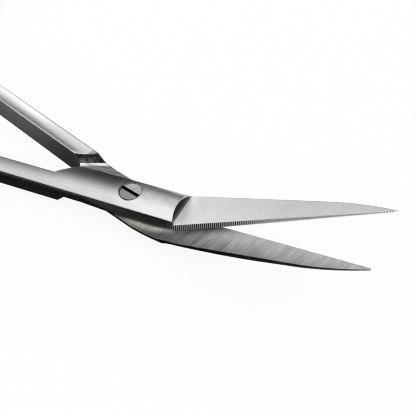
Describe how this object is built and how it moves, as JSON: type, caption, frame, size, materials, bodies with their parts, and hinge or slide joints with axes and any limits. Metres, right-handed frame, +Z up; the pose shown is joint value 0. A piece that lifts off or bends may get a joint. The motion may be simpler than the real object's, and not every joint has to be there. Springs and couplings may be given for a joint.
{
  "type": "cuticle scissors",
  "caption": "Small pivoted scissors with narrow upswept blades, a finely serrated upper edge, slim shanks, round finger rings and a slotted pivot screw.",
  "frame": {"origin": "under the pivot, on the surface that the scissors lie on: the middle of the screw's flat end", "axes": "+X towards the blade tips along the line that halves the open angle, +Z up along the pivot towards the screw head, +Y to the left seen along +X"},
  "size_m": [0.1118, 0.0736, 0.0141],
  "materials": {
    "brushed_steel": "satin brushed stainless steel, brushed along the shanks and across the blade flats",
    "screw_steel": "smooth turned stainless steel"
  },
  "bodies": {
    "lower": {"plain_half": "brushed_steel"},
    "upper": {"serrated_half": "brushed_steel"},
    "screw": {"pivot_screw": "screw_steel"}
  },
  "joints": [
    {"name": "blade_hinge", "type": "hinge", "parent": "lower", "child": "upper", "pos_m": [0, 0, 0.002], "axis": [0, 0, 1], "range_deg": [-15, 21]},
    {"name": "screw_tension", "type": "hinge", "parent": "lower", "child": "screw", "pos_m": [0, 0, 0.002], "axis": [0, 0, 1], "range_deg": [-30, 30]}
  ]
}
